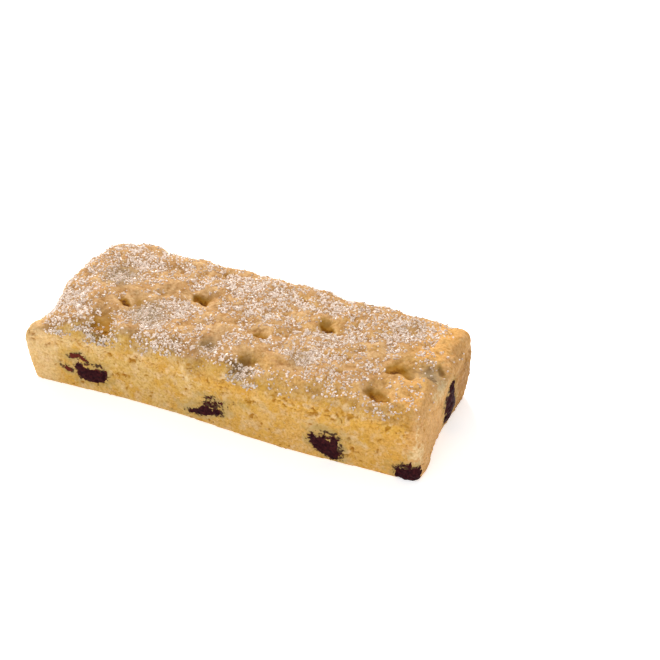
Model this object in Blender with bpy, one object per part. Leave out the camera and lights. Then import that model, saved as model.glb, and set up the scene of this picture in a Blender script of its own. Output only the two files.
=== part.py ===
"""A finger of chocolate-chip shortbread, cut from a slab and baked.

The finger lies flat on its base. +X runs along it, +Z is up, and the origin is
the middle of the base. Sizes here are in millimetres, and become metres where a
mesh is made. The dough is one solid with a lumpy, pricked top. Each chocolate
chip is a solid of its own, set in a socket and cut flush with the face it shows on.
"""

import math

import bmesh
import bpy
from mathutils import Euler, Vector, noise

MM = 0.001

# The whole finger, before baking made it uneven.
LENGTH = 92.0
WIDTH = 34.4
HEIGHT = 18.4

# How the top rolls over into each side, how round the upright corners are at the
# base and how much rounder they get towards the top, and the worn edge of the base.
SHOULDER_FRONT = 5.0
SHOULDER_BACK = 3.2
SHOULDER_LEFT = 4.6
SHOULDER_RIGHT = 3.2
CORNER_RADIUS = 1.4
CORNER_GROWTH = 1.1
BASE_EDGE = 0.6

# How far each side leans in at the base, from this height down. The first power sets
# how late the lean comes on, and the second keeps it near the sides.
LEAN_TOP = 13.0
LEAN_CURVE = 1.4
LEAN_GATHER = 3
LEAN_FRONT = 0.2
LEAN_BACK = 1.4
LEAN_LEFT = 1.6
LEAN_RIGHT = 1.7

# The left end isn't square to the sides: how far it turns, in degrees.
LEFT_SKEW = 6.0

# Slow waves along each side: reach, length of a wave, and where a crest is.
WAVE_FRONT = (0.65, 66.0, 16.0)
WAVE_BACK = (0.2, 40.0, -8.0)
WAVE_LEFT = (0.15, 40.0, 4.0)
WAVE_RIGHT = (0.2, 40.0, 12.0)

# Above this share of the height, what baking did moves the dough fully up and down.
RISE_FULL = 0.5

# Facets: columns along each straight side and corner, and rings up the wall.
COLUMNS_LONG = 56
COLUMNS_SHORT = 20
COLUMNS_CORNER = 4
RINGS_BASE = 2
RINGS_WALL = 3
RINGS_SHOULDER = 5

# Lumps and hollows that baking left: place, reach, then how far the dough moved.
SWELLS = (
    # The front left corner spread outwards and slumped, with a crease behind it.
    ((-46.0, -15.0, 5.0), 6.0, (-0.5, -0.2, 0.0)),
    ((-44.0, -14.0, 18.0), 6.0, (0.4, 0.0, -2.4)),
    ((-45.5, -8.5, 15.5), 3.6, (1.5, 0.0, -1.4)),
    # The back left corner rose, and its upright edge drew in.
    ((-35.0, 10.0, 18.0), 8.0, (0.0, 0.0, 0.7)),
    ((-46.0, 16.5, 15.0), 5.5, (1.2, -1.2, -0.6)),
    # The front right corner spread at its foot, and the back right one drew in.
    ((46.0, -13.0, 0.0), 7.0, (2.2, -0.2, 0.0)),
    ((45.0, -15.0, 17.0), 5.0, (-0.3, 0.4, -0.7)),
    ((46.0, 17.0, 14.0), 6.0, (-0.8, -0.5, -0.4)),
    # The back edge dips and bulges.
    ((18.0, 17.0, 15.0), 4.5, (0.0, -0.9, -0.4)),
    ((26.0, 17.0, 15.0), 4.0, (0.0, 0.6, 0.3)),
    # Rises and hollows of the top.
    ((-35.0, -5.5, 18.0), 4.5, (0.0, 0.0, 0.6)),
    ((-31.5, 3.3, 18.0), 4.5, (0.0, 0.0, -0.9)),
    ((-24.0, 3.0, 18.0), 5.0, (0.0, 0.0, 0.3)),
    ((-20.5, -8.0, 18.0), 4.6, (0.0, 0.0, -0.5)),
    ((-15.0, -11.0, 17.0), 4.0, (0.0, 0.0, 0.4)),
    ((-7.0, 8.0, 18.0), 7.0, (0.0, 0.0, 0.4)),
    ((-4.0, -5.5, 18.0), 3.6, (0.0, 0.0, 0.4)),
    ((11.5, -9.0, 18.0), 5.0, (0.0, 0.0, 0.6)),
    ((27.0, 9.0, 18.0), 6.0, (0.0, 0.0, 0.4)),
    ((28.0, -8.0, 18.0), 5.0, (0.0, 0.0, 0.4)),
    ((34.0, 11.0, 18.0), 4.5, (0.0, 0.0, -0.5)),
    ((42.0, -7.0, 18.0), 3.6, (0.0, 0.0, 0.4)),
    ((41.0, 5.0, 18.0), 4.5, (0.0, 0.0, 0.3)),
)

# Shallow dimples that a fork pressed: x, y, half width, depth.
DIMPLES = (
    (-29.6, -13.4, 4.4, 2.0),
    (-27.6, -4.6, 3.6, 1.2),
    (-12.6, 1.6, 3.6, 1.4),
    (-4.0, -11.6, 4.0, 1.9),
    (4.9, -4.4, 3.4, 1.3),
    (4.6, -13.4, 4.6, 2.6),
    (17.4, 3.6, 3.8, 1.5),
    (35.3, -11.8, 4.2, 2.3),
    (36.8, -3.4, 4.4, 1.8),
    (43.0, -1.6, 3.4, 1.2),
    (25.5, -5.0, 3.0, 0.7),
    (-37.0, 6.5, 3.0, 0.5),
)
DIMPLE_SPREAD = 0.62

# Deep narrow holes left by the prongs: x, y, length, width, depth, turn in degrees.
HOLES = (
    (-27.3, -4.7, 5.0, 2.5, 3.4, -5.0),
    (-12.6, 1.8, 3.8, 3.2, 4.4, 0.0),
    (4.9, -4.2, 3.0, 2.3, 2.8, 10.0),
    (17.4, 3.8, 3.8, 2.8, 3.6, 15.0),
    (36.0, -3.2, 4.0, 2.8, 3.0, -15.0),
)
HOLE_SEGMENTS = 12
HOLE_RINGS = 8

# Fine lumps of the baked top, and the slighter ones of the cut sides. Those of the top
# come on between two shares of the height, and those of the sides above the base edge.
LUMP_SPACING = 7.0
LUMP_TOP = 0.5
LUMP_TOP_FROM = 0.5
LUMP_TOP_FULL = 0.95
LUMP_SIDE = 0.3
LUMP_SIDE_FULL = 2.0
LUMP_GATHER_ENDS = 5
LUMP_GATHER_SIDES = 3

# Chips: the face that each shows on, its place along that face, its height, then
# its length, height and depth, and its turn in degrees.
CHIPS = {
    "chip_front_left": ("front", -31.2, 5.3, 7.8, 3.8, 5.0, -12.0),
    "chip_front_middle": ("front", -3.9, 4.4, 8.6, 3.8, 4.6, 14.0),
    "chip_front_right": ("front", 24.9, 4.1, 7.4, 6.2, 5.2, -18.0),
    "chip_front_corner": ("front", 43.6, 1.5, 6.2, 4.2, 4.6, 0.0),
    "chip_right_end": ("right", 2.3, 8.6, 6.4, 9.8, 4.6, 12.0),
    "chip_back_left": ("back", -33.5, 7.0, 6.8, 5.0, 4.8, 18.0),
    "chip_back_middle": ("back", -11.0, 4.4, 7.6, 4.0, 4.8, -10.0),
    "chip_back_right": ("back", 15.5, 8.6, 6.2, 4.8, 4.6, 25.0),
    "chip_left_end": ("left", 4.5, 6.2, 6.6, 4.6, 5.0, 10.0),
}
CHIP_SINK = 0.9
CHIP_LUMP = 0.28
CHIP_LUMP_SPACING = 0.75
CHIP_GAP = 0.35

CHOCOLATE_COLOUR = (0.045, 0.012, 0.012, 1.0)
CHOCOLATE_ROUGHNESS = 0.45
DOUGH_COLOUR = (0.72, 0.46, 0.19, 1.0)
DOUGH_ROUGHNESS = 0.7


def clear_scene():
    """Empty the scene of whatever it starts with."""
    for thing in list(bpy.context.scene.objects):
        bpy.data.objects.remove(thing, do_unlink=True)


# ---------------------------------------------------------------- small helpers

def blend(low, high, share):
    """The value between low and high at this share of the way."""
    return low + (high - low) * share


def ease(low, high, value):
    """0 below low, 1 above high, and a smooth rise between them."""
    share = min(max((value - low) / (high - low), 0.0), 1.0)
    return share * share * (3.0 - 2.0 * share)


def bell(distance):
    """A bell curve: 1 at no distance, and nearly 0 at 2."""
    return math.exp(-distance * distance)


def wave(spec, place):
    """How far a side strays from straight at a place along it."""
    reach, length, crest = spec
    return reach * math.cos(2.0 * math.pi * (place - crest) / length)


# ---------------------------------------------------------------- the plain finger

def outline_columns():
    """The columns round the finger: corner or run, its number, and the share along it."""
    columns = []
    half = COLUMNS_CORNER // 2
    for side in range(4):
        run = COLUMNS_LONG if side % 2 == 0 else COLUMNS_SHORT
        columns += [("corner", side, 0.5 + step / COLUMNS_CORNER) for step in range(half)]
        columns += [("run", side, step / run) for step in range(run)]
        columns += [("corner", (side + 1) % 4, step / COLUMNS_CORNER) for step in range(half)]
    return columns


def column_place(column, insets):
    """Where a column stands in plan, on an outline drawn in at the front, right, back and left."""
    kind, index, share = column
    front, right, back, left = insets
    radius = CORNER_RADIUS + CORNER_GROWTH * sum(insets) / 4.0
    low_x = -LENGTH / 2.0 + left + radius
    high_x = LENGTH / 2.0 - right - radius
    low_y = -WIDTH / 2.0 + front + radius
    high_y = WIDTH / 2.0 - back - radius
    corners = ((low_x, low_y), (high_x, low_y), (high_x, high_y), (low_x, high_y))
    x, y = corners[index]
    outward = math.radians(90.0 * index - 90.0)
    if kind == "corner":
        outward += math.radians(90.0 * share - 90.0)
    else:
        end_x, end_y = corners[(index + 1) % 4]
        x = blend(x, end_x, share)
        y = blend(y, end_y, share)
    return x + radius * math.cos(outward), y + radius * math.sin(outward)


def column_shoulder(column):
    """The radius of the shoulder at a column, which changes round the corners."""
    kind, index, share = column
    sides = (SHOULDER_FRONT, SHOULDER_RIGHT, SHOULDER_BACK, SHOULDER_LEFT)
    if kind == "corner":
        return blend(sides[index - 1], sides[index], share)
    return sides[index]


def base_ring(columns, step):
    """A ring of the worn lower edge."""
    turn = math.radians(90.0 * step / RINGS_BASE)
    insets = (BASE_EDGE * (1.0 - math.sin(turn)),) * 4
    height = BASE_EDGE * (1.0 - math.cos(turn))
    return [(*column_place(column, insets), height) for column in columns]


def wall_ring(columns, step):
    """A ring of the upright wall."""
    ring = []
    for column in columns:
        top = HEIGHT - column_shoulder(column)
        height = blend(BASE_EDGE, top, step / RINGS_WALL)
        ring.append((*column_place(column, (0.0,) * 4), height))
    return ring


def shoulder_ring(columns, step):
    """A ring of the rounded shoulder, where the wall rolls over into the top."""
    turn = math.radians(90.0 * step / RINGS_SHOULDER)
    radii = (SHOULDER_FRONT, SHOULDER_RIGHT, SHOULDER_BACK, SHOULDER_LEFT)
    insets = [radius * (1.0 - math.cos(turn)) for radius in radii]
    ring = []
    for column in columns:
        drop = column_shoulder(column) * (1.0 - math.sin(turn))
        ring.append((*column_place(column, insets), HEIGHT - drop))
    return ring


def plain_rings():
    """All rings of points, from the base up the wall and over the shoulder."""
    columns = outline_columns()
    rings = [base_ring(columns, step) for step in range(RINGS_BASE)]
    rings += [wall_ring(columns, step) for step in range(RINGS_WALL)]
    rings += [shoulder_ring(columns, step) for step in range(RINGS_SHOULDER + 1)]
    return rings


def rim_index(i, j, across, along):
    """The place in the rim of a point on the edge of the top's grid, or None inside it."""
    if j == 0:
        return i
    if i == across:
        return across + j
    if j == along:
        return 2 * across + along - i
    if i == 0:
        return 2 * across + 2 * along - j
    return None


def top_point(rim, i, j, across, along):
    """A point of the top, spread evenly between the four sides of its rim."""
    u = i / across
    v = j / along
    front, back = rim[rim_index(i, 0, across, along)], rim[rim_index(i, along, across, along)]
    left, right = rim[rim_index(0, j, across, along)], rim[rim_index(across, j, across, along)]
    near_left, near_right = rim[0], rim[across]
    far_right, far_left = rim[across + along], rim[2 * across + along]
    point = []
    for axis in range(3):
        sides = blend(front[axis], back[axis], v) + blend(left[axis], right[axis], u)
        near = blend(near_left[axis], near_right[axis], u)
        far = blend(far_left[axis], far_right[axis], u)
        point.append(sides - blend(near, far, v))
    return tuple(point)


# ---------------------------------------------------------------- what baking did to it

def plain_top(x, y):
    """The point of the plain top at a place in plan, and the direction out of it there."""
    depth = y + WIDTH / 2.0
    if depth >= SHOULDER_FRONT:
        return Vector((x, y, HEIGHT)), Vector((0.0, 0.0, 1.0))
    sine = (SHOULDER_FRONT - depth) / SHOULDER_FRONT
    cosine = math.sqrt(1.0 - sine * sine)
    height = HEIGHT - SHOULDER_FRONT * (1.0 - cosine)
    return Vector((x, y, height)), Vector((0.0, -sine, cosine))


def side_shift(point):
    """How far the waves, the lean and the skew move a point of the sides."""
    reach_x = point.x / (LENGTH / 2.0)
    reach_y = point.y / (WIDTH / 2.0)
    depth = max(1.0 - point.z / LEAN_TOP, 0.0) ** LEAN_CURVE
    to_right = ease(-LENGTH / 2.0, LENGTH / 2.0, point.x)
    to_back = ease(-WIDTH / 2.0, WIDTH / 2.0, point.y)
    shift_x = blend(-wave(WAVE_LEFT, point.y), wave(WAVE_RIGHT, point.y), to_right)
    shift_y = blend(-wave(WAVE_FRONT, point.x), wave(WAVE_BACK, point.x), to_back)
    shift_x -= reach_x ** LEAN_GATHER * depth * (LEAN_RIGHT if reach_x > 0.0 else LEAN_LEFT)
    shift_y -= reach_y ** LEAN_GATHER * depth * (LEAN_BACK if reach_y > 0.0 else LEAN_FRONT)
    if reach_x < 0.0:
        shift_x += math.tan(math.radians(LEFT_SKEW)) * point.y * reach_x * reach_x
    return Vector((shift_x, shift_y, 0.0))


def swell_shift(point):
    """How far the lumps and hollows move a point."""
    shift = Vector((0.0, 0.0, 0.0))
    for place, reach, move in SWELLS:
        shift += Vector(move) * bell((point - Vector(place)).length / reach)
    for x, y, reach, depth in DIMPLES:
        place, outward = plain_top(x, y)
        shift -= outward * depth * bell((point - place).length / (DIMPLE_SPREAD * reach))
    return shift


def lump_shift(point):
    """The fine unevenness: up and down on the top, in and out on the sides."""
    crown = ease(LUMP_TOP_FROM * HEIGHT, LUMP_TOP_FULL * HEIGHT, point.z)
    wall = ease(0.0, LUMP_SIDE_FULL, point.z)
    rise = LUMP_TOP * crown * noise.noise(point / LUMP_SPACING)
    side = LUMP_SIDE * wall * noise.noise((point + Vector((0.0, 0.0, LENGTH))) / LUMP_SPACING)
    out_x = side * (point.x / (LENGTH / 2.0)) ** LUMP_GATHER_ENDS
    out_y = side * (point.y / (WIDTH / 2.0)) ** LUMP_GATHER_SIDES
    return Vector((out_x, out_y, rise))


def baked(point):
    """Where baking leaves a point of the plain finger. The base stays flat."""
    plain = Vector(point)
    shift = side_shift(plain) + swell_shift(plain) + lump_shift(plain)
    shift.z *= ease(0.0, RISE_FULL * HEIGHT, plain.z)
    return plain + shift


# ---------------------------------------------------------------- meshes

def finger_mesh(name):
    """The dough before it is pricked: base, walls, shoulders and top as one closed mesh."""
    rings = plain_rings()
    count = len(rings[0])
    across = COLUMNS_LONG + COLUMNS_CORNER
    along = COLUMNS_SHORT + COLUMNS_CORNER
    shape = bmesh.new()
    verts = [[shape.verts.new(baked(point)) for point in ring] for ring in rings]
    for lower, upper in zip(verts, verts[1:]):
        for k in range(count):
            n = (k + 1) % count
            shape.faces.new((lower[k], lower[n], upper[n], upper[k]))
    grid = {}
    for i in range(across + 1):
        for j in range(along + 1):
            place = rim_index(i, j, across, along)
            if place is None:
                grid[i, j] = shape.verts.new(baked(top_point(rings[-1], i, j, across, along)))
            else:
                grid[i, j] = verts[-1][place % count]
    for i in range(across):
        for j in range(along):
            shape.faces.new((grid[i, j], grid[i + 1, j], grid[i + 1, j + 1], grid[i, j + 1]))
    shape.faces.new(list(reversed(verts[0])))
    return finish_mesh(shape, name)


def finish_mesh(shape, name):
    """Turn a finished bmesh in millimetres into a mesh in metres."""
    bmesh.ops.scale(shape, vec=(MM, MM, MM), verts=shape.verts)
    mesh = bpy.data.meshes.new(name)
    shape.to_mesh(mesh)
    shape.free()
    mesh.shade_smooth()
    return mesh


def holes_mesh(name):
    """Round-nosed pegs that stand where the prongs went in."""
    shape = bmesh.new()
    for x, y, length, width, depth, turn in HOLES:
        place, _outward = plain_top(x, y)
        mouth = baked(place)
        peg = bmesh.ops.create_uvsphere(
            shape, u_segments=HOLE_SEGMENTS, v_segments=HOLE_RINGS, radius=1.0
        )
        spin = Euler((0.0, 0.0, math.radians(turn))).to_matrix()
        for vert in peg["verts"]:
            half = Vector((vert.co.x * length / 2.0, vert.co.y * width / 2.0, vert.co.z * depth))
            vert.co = mouth + spin @ half
    return finish_mesh(shape, name)


def face_axes(face):
    """The direction along a face of the finger, and the direction out of it."""
    return {
        "front": (Vector((1.0, 0.0, 0.0)), Vector((0.0, -1.0, 0.0))),
        "right": (Vector((0.0, 1.0, 0.0)), Vector((1.0, 0.0, 0.0))),
        "back": (Vector((1.0, 0.0, 0.0)), Vector((0.0, 1.0, 0.0))),
        "left": (Vector((0.0, 1.0, 0.0)), Vector((-1.0, 0.0, 0.0))),
    }[face]


def add_chip(shape, spec, grown):
    """Add the lump of one chip, grown all round by a gap, before its face is cut flush."""
    face, along, up, length, height, depth, turn = spec
    along_axis, out_axis = face_axes(face)
    reach = WIDTH / 2.0 if face in ("front", "back") else LENGTH / 2.0
    surface = baked(out_axis * reach + along_axis * along + Vector((0.0, 0.0, up)))
    centre = surface - out_axis * CHIP_SINK
    slope = math.radians(turn)
    lump = bmesh.ops.create_icosphere(shape, subdivisions=2, radius=1.0)
    for vert in lump["verts"]:
        unit = vert.co.copy()
        swell = 1.0 + CHIP_LUMP * noise.noise(unit / CHIP_LUMP_SPACING + centre)
        flat = unit.x * (length / 2.0 * swell + grown)
        tall = unit.z * (height / 2.0 * swell + grown)
        deep = unit.y * (depth * swell + grown)
        move_along = flat * math.cos(slope) - tall * math.sin(slope)
        move_up = flat * math.sin(slope) + tall * math.cos(slope)
        vert.co = centre + along_axis * move_along + out_axis * deep
        vert.co.z += move_up


def chip_mesh(name, spec):
    """One chip as a whole lump."""
    shape = bmesh.new()
    add_chip(shape, spec, 0.0)
    bmesh.ops.recalc_face_normals(shape, faces=shape.faces)
    return finish_mesh(shape, name)


def sockets_mesh(name):
    """All the lumps together, each grown by the gap, to cut their sockets."""
    shape = bmesh.new()
    for spec in CHIPS.values():
        add_chip(shape, spec, CHIP_GAP)
    bmesh.ops.recalc_face_normals(shape, faces=shape.faces)
    return finish_mesh(shape, name)


# ---------------------------------------------------------------- objects

def material(name, colour, roughness):
    """A plain material for one kind of stuff."""
    made = bpy.data.materials.new(name)
    made.use_nodes = True
    shader = made.node_tree.nodes["Principled BSDF"]
    shader.inputs["Base Color"].default_value = colour
    shader.inputs["Roughness"].default_value = roughness
    shader.inputs["Metallic"].default_value = 0.0
    return made


def add_object(name, mesh):
    """Put a mesh in the scene under its name."""
    thing = bpy.data.objects.new(name, mesh)
    bpy.context.scene.collection.objects.link(thing)
    return thing


def add_cutter(name, mesh):
    """A shape that only cuts others."""
    cutter = add_object(name, mesh)
    cutter.hide_render = True
    cutter.display_type = "WIRE"
    return cutter


def add_boolean(piece, cutter, operation):
    """Take the cutter away from a piece, or keep only what lies inside the cutter."""
    boolean = piece.modifiers.new(cutter.name, "BOOLEAN")
    boolean.operation = operation
    boolean.solver = "EXACT"
    boolean.object = cutter


def add_dough():
    """The dough, pricked from above and with a socket for each chip."""
    dough = add_object("shortbread_dough", finger_mesh("dough"))
    dough.data.materials.append(material("baked dough", DOUGH_COLOUR, DOUGH_ROUGHNESS))
    add_boolean(dough, add_cutter("cutter_holes", holes_mesh("holes")), "DIFFERENCE")
    add_boolean(dough, add_cutter("cutter_sockets", sockets_mesh("sockets")), "DIFFERENCE")
    even_shading(dough)


def add_chips(outline):
    """The chips, each cut flush with the face of the finger that it shows on."""
    chocolate = material("chocolate", CHOCOLATE_COLOUR, CHOCOLATE_ROUGHNESS)
    for name, spec in CHIPS.items():
        chip = add_object(name, chip_mesh(name, spec))
        chip.data.materials.append(chocolate)
        add_boolean(chip, outline, "INTERSECT")
        even_shading(chip)


def centre_on_base(things, guide):
    """Move everything so that the middle of the guide's base box is the origin."""
    corners = [Vector(corner) for corner in guide.bound_box]
    low_x, high_x = min(c.x for c in corners), max(c.x for c in corners)
    low_y, high_y = min(c.y for c in corners), max(c.y for c in corners)
    for thing in things:
        thing.location = (-(low_x + high_x) / 2.0, -(low_y + high_y) / 2.0, 0.0)


def even_shading(piece):
    """Shade each face by its own lie, so that the cut rims stay crisp."""
    piece.modifiers.new("even shading", "WEIGHTED_NORMAL")


def main():
    clear_scene()
    add_dough()
    outline = add_cutter("cutter_outline", finger_mesh("outline"))
    add_chips(outline)
    centre_on_base(bpy.context.scene.objects, outline)


main()
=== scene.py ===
"""A sugared finger of chocolate-chip shortbread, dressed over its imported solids.

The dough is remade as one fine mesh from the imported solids, roughened where it was
cut and lumpy where it was baked. Chips and sugar are laid on that mesh. Lengths are
in millimetres until a mesh is made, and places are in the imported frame.
"""

import math

import bmesh
import bpy
import numpy as np
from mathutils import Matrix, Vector, noise


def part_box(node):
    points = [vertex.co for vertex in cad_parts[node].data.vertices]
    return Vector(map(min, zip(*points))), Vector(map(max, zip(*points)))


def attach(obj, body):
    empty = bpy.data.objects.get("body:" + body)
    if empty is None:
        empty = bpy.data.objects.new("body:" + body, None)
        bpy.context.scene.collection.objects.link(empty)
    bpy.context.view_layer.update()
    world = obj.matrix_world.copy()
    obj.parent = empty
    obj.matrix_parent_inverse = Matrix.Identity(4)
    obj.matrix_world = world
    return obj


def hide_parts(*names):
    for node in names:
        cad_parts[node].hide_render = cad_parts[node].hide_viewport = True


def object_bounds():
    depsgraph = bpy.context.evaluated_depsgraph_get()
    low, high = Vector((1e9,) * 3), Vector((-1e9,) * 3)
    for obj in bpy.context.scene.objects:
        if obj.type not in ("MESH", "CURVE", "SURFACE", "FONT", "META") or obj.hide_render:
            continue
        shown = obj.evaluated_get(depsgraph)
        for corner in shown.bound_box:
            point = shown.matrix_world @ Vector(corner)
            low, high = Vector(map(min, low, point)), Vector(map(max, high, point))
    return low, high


MM = 0.001
X_AND_Y = [0, 1]
X_AND_Z = [0, 2]

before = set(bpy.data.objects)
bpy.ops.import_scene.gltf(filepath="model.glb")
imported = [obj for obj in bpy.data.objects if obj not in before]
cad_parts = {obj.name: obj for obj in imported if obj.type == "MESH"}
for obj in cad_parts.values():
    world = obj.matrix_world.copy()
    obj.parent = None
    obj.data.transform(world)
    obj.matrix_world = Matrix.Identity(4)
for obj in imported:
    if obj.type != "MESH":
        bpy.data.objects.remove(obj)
cad_low, cad_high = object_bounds()
LOW = np.array(cad_low) / MM
HIGH = np.array(cad_high) / MM
CHIP_NODES = sorted(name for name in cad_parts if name.startswith("chip_"))

# The fine dough mesh: its pitch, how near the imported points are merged, the growth
# that closes the sockets, and how often it is smoothed: while it is grown, once it is
# back to size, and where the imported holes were.
PITCH = 0.355
MERGE_DISTANCE = 0.02
SOCKET_CLOSING = 0.4
SMOOTHING_ROUNDS = 14
LAST_SMOOTHING_ROUNDS = 2
HOLE_SMOOTHING_ROUNDS = 92

# How often the dough is smoothed to see which places lie in hollows of each width.
HOLLOW_ROUNDS = {"near": 8, "middling": 31, "wide": 99}

# Where the baked top gives way to the cut sides, and how ragged that line is.
CRUST_LINE = 13.4
CRUST_LINE_WANDER = 1.5
CRUST_LINE_SOFTNESS = 1.6

# The crumbly seam under the crust, and the line along which the crust has cracked.
SEAM_REACH = 2.6
CRACK_LINE_REACH = 2.2

# Layers of noise, each a height, a spacing and a seed.
LUMPS = ((0.75, 5.2, 11), (0.46, 2.6, 12), (0.18, 1.2, 13))
LUMP_SINK = 0.12
CRUMB = ((0.18, 2.4, 14), (0.18, 1.1, 15), (0.10, 0.65, 22))
PITS = ((1.0, 1.9, 16), (0.7, 0.8, 29))
FLAKES = ((1.0, 1.7, 27), (0.6, 0.8, 30))
RAGGED_EDGE = ((0.3, 1.2, 31), (0.4, 0.55, 32), (0.3, 0.35, 37))
SUGAR_DRIFT = ((0.45, 4.6, 41), (0.6, 1.8, 42), (0.3, 0.9, 44))

# How far the relief of the cut sides stands in or out.
PIT_DEPTH = 0.3
FLAKE_HEIGHT = 0.15
CRACK_DEPTH = 0.3
CRACK_LIP = 0.12

# Stretches of x, y or z over which a look comes on.
RIGHTER_X = (-32.0, 30.0)
CRUMBLY_X = (16.0, 32.0)
FRONT_PAINTED_LIGHT_X = (0.0, 12.0)
RIGHT_CRUST_X = (34.0, 43.0)
END_FACE_X = (42.8, 45.4)
PALE_END_X = (-41.0, -36.0)
FAR_END_Y = (0.0, 6.5)
PACKED_HOLES_Z = (9.0, 14.0)
PRICKED_Z = (11.0, 14.0)
SPECKLED_Z = (12.0, 14.0)
SHOULDER_Z = (12.0, 15.5)
SUGARED_Z = (13.2, 15.6)

OUTWARD = {"front": (0, -1, 0), "back": (0, 1, 0), "right": (1, 0, 0), "left": (-1, 0, 0)}

# Each chip's visible form, from the middle of its node: lobes, bites of dough out of
# them, streaks past the bites, and smears of chocolate crumbs. Each is a place along
# and up the face, half length, half height and turn in degrees. Then how far it
# bulges, how far its outline wanders, how deep into the dough its face may lie, and
# how red its thin streaks and smears are, where these differ from a plain chip's.
PLAIN_CHIP = {"bites": (), "streaks": (), "bulge": 0.0, "wander": 0.0, "reach_in": 1.0, "fading": 0.3}
CHIP_FORMS = {
    "chip_front_left": {
        "lobes": ((0.45, -0.6, 3.5, 1.9, 0.0), (-2.55, 1.1, 1.0, 1.1, -25.0), (3.4, 0.7, 0.9, 1.1, 20.0)),
        "bites": ((0.45, 2.5, 2.4, 1.5, 0.0),),
        "streaks": ((-3.3, 4.0, 1.5, 0.75, 20.0), (-1.7, 3.8, 1.1, 0.65, -38.0),
                    (-5.2, 0.0, 1.3, 0.6, -20.0)),
        "smears": ((-0.6, 2.7, 0.6, 0.8, 0.0), (1.8, 2.5, 1.2, 0.5, 0.0)),
        "bulge": 0.15,
        "fading": 1.0,
    },
    "chip_front_middle": {
        "lobes": ((-0.5, -1.1, 3.4, 0.9, 16.0), (0.6, 0.1, 2.0, 0.8, 25.0), (2.9, 0.1, 1.0, 1.0, 0.0)),
        "bites": ((2.6, 1.0, 1.2, 0.3, 15.0),),
        "streaks": ((2.3, 2.2, 2.4, 0.35, 18.0), (1.4, 3.5, 0.7, 0.3, 30.0)),
        "smears": ((2.2, 1.5, 2.6, 0.9, 20.0), (4.3, 0.2, 0.8, 1.0, 0.0), (1.4, 3.5, 1.1, 0.5, 10.0)),
    },
    "chip_front_right": {
        "lobes": ((0.0, -0.3, 3.9, 2.0, -35.0), (2.2, -1.9, 1.1, 1.7, 0.0), (-2.7, 1.9, 0.6, 1.0, 0.0),
                  (-0.1, 1.6, 0.6, 1.2, 0.0), (2.4, 1.2, 1.0, 1.9, 0.0)),
        "bites": ((-1.4, 2.7, 0.5, 0.9, 0.0), (1.1, 2.1, 0.6, 0.8, 0.0)),
        "smears": ((1.7, 3.7, 1.6, 0.5, -12.0), (0.6, 2.3, 1.8, 0.6, 0.0), (3.7, -0.4, 0.6, 2.2, 0.0)),
    },
    "chip_front_corner": {
        "lobes": ((0.2, -0.2, 2.9, 1.9, 6.0), (1.5, 0.8, 1.3, 1.4, 0.0), (-0.9, 1.6, 0.5, 1.0, 0.0),
                  (0.6, 2.0, 0.45, 1.0, 0.0), (2.4, 1.6, 0.45, 1.0, 12.0), (-2.1, 1.0, 0.5, 1.0, -10.0)),
        "smears": ((-0.2, 1.9, 2.4, 0.8, 4.0),),
    },
    "chip_right_end": {
        "lobes": ((0.3, 3.0, 1.5, 2.1, 8.0), (0.0, 0.3, 1.9, 2.7, 0.0), (1.4, -2.8, 2.4, 2.9, 20.0),
                  (1.4, -5.2, 2.4, 2.0, -10.0)),
        "bites": ((2.9, 0.9, 0.9, 1.2, 0.0),),
        "smears": ((-2.0, 1.2, 0.8, 1.6, -10.0), (-1.4, -2.6, 0.7, 2.2, 10.0)),
        "bulge": 0.35,
        "wander": 0.5,
        "reach_in": 5.0,
    },
    "chip_back_left": {
        "lobes": ((0.0, 0.0, 3.2, 1.8, -20.0), (-1.6, 0.9, 1.3, 1.2, 0.0)),
        "bites": ((1.4, 1.9, 1.3, 0.8, -15.0),),
        "streaks": ((3.4, 1.7, 0.9, 0.35, 30.0),),
        "smears": ((0.8, 1.7, 1.9, 0.7, -10.0),),
        "wander": 0.5,
    },
    "chip_back_middle": {
        "lobes": ((-0.2, -0.3, 2.3, 2.2, 0.0), (1.6, 1.0, 1.1, 1.3, 20.0)),
        "bites": ((-0.6, 2.0, 0.6, 0.8, 0.0),),
        "smears": ((0.2, 2.2, 1.6, 0.6, 0.0),),
        "wander": 0.6,
    },
    "chip_back_right": {
        "lobes": ((0.3, -0.5, 3.6, 1.3, 14.0), (-1.2, 0.6, 1.5, 1.2, 0.0)),
        "streaks": ((1.2, 1.8, 1.6, 0.4, 20.0),),
        "smears": ((1.6, 1.3, 2.0, 0.7, 16.0),),
        "wander": 0.5,
    },
    "chip_left_end": {
        "lobes": ((0.0, 0.0, 3.0, 2.0, 12.0), (1.2, 0.6, 1.8, 1.6, -10.0)),
        "bites": ((-1.4, 2.1, 1.6, 0.9, 10.0),),
        "smears": ((0.4, 1.8, 2.8, 1.0, 0.0),),
        "wander": 0.7,
        "reach_in": 3.0,
    },
}

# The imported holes, filled here so that softer pricks can be pressed in their places.
HOLES = ((-26.7, -4.7), (-12.0, 1.8), (5.5, -4.2), (18.0, 3.8), (36.6, -3.2))
HOLE_REACH = 4.2
HOLE_RIM = (2.8, 5.0)
HOLE_RIM_LEAST_Z = 13.0
PLUG_RADIUS = 3.1
PLUG_SINK = 0.5
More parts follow.
